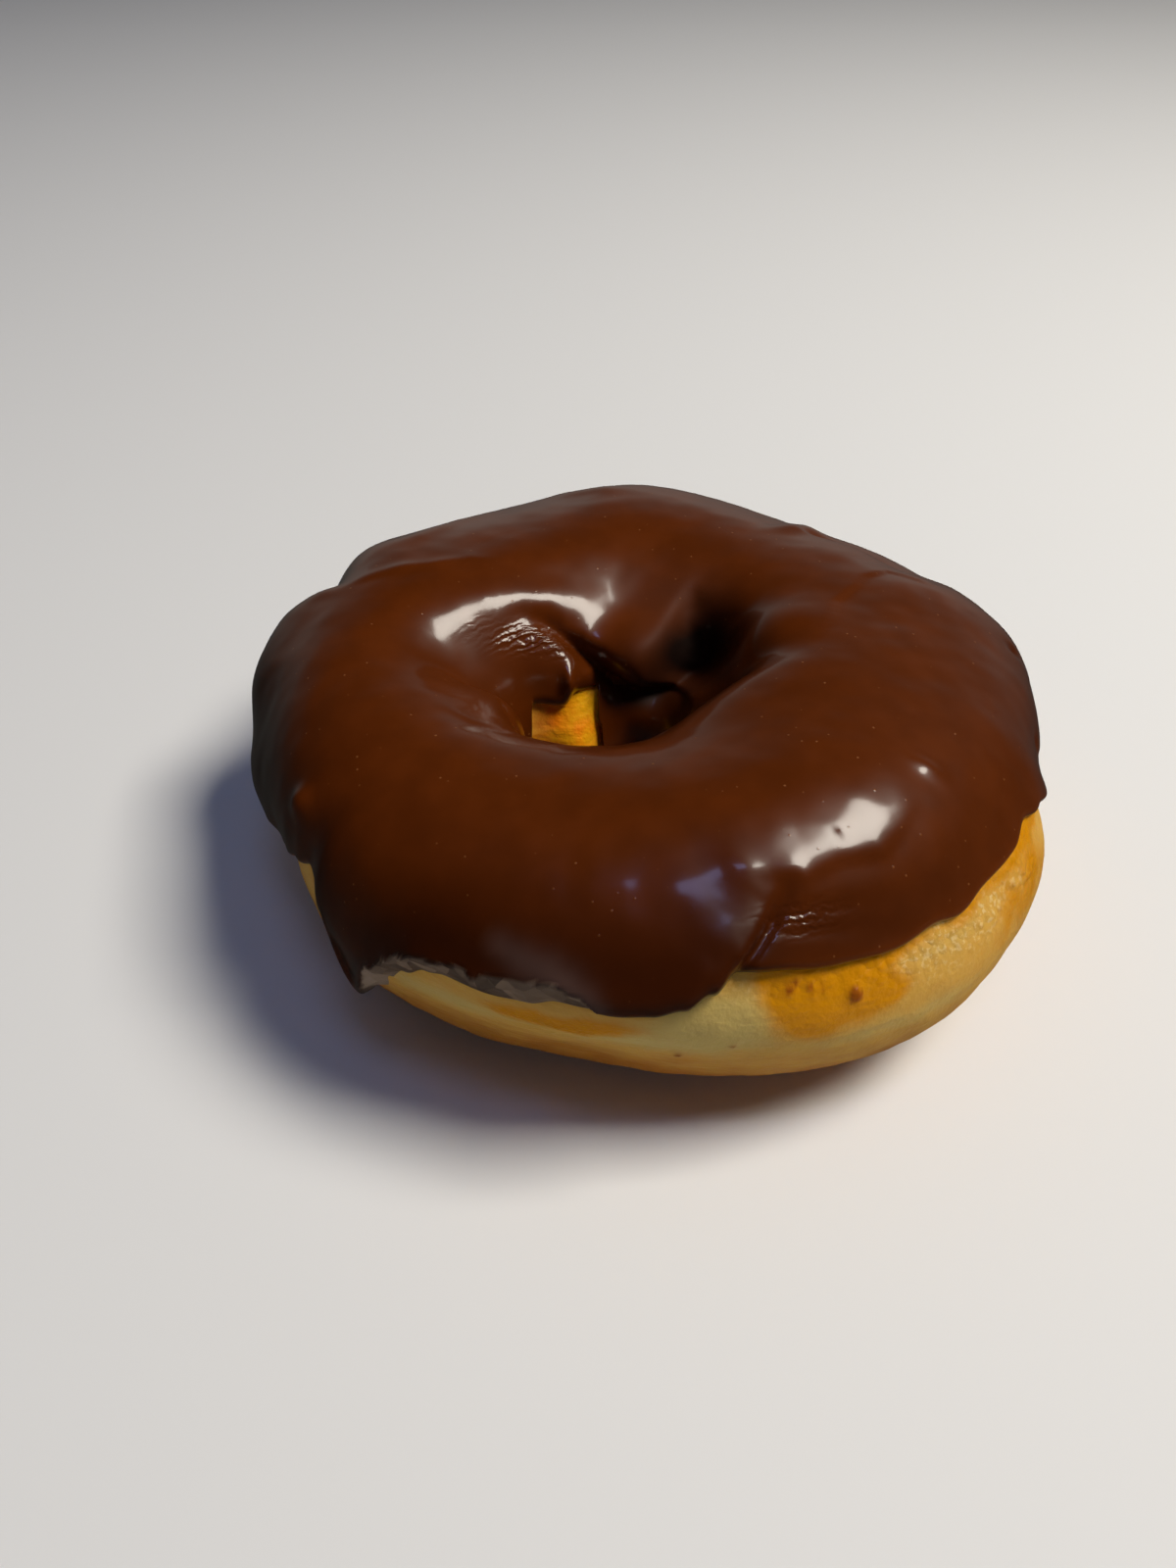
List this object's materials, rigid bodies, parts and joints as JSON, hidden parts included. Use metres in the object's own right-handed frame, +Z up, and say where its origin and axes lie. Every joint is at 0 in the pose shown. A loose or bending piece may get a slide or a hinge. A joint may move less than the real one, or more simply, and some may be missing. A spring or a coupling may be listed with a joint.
{
  "type": "chocolate doughnut",
  "caption": "Ring doughnut of golden fried dough, its top dipped in glossy chocolate icing that ran into a drip, with an off-centre oval hole; it rests on its flat underside.",
  "frame": {"origin": "on the table under the middle of the doughnut's outline", "axes": "+Z up through the iced top; +X to the right and -Y towards the side with the bare dough and the drip"},
  "size_m": [0.0891, 0.0909, 0.0322],
  "materials": {
    "fried_dough": "fried yeast dough, golden to pale cream, satin with fine blisters",
    "chocolate_icing": "set chocolate glaze, dark brown, glossy with soft ripples and small bubbles"
  },
  "bodies": {
    "root": {"dough_ring": "fried_dough", "chocolate_icing": "chocolate_icing"}
  },
  "joints": []
}
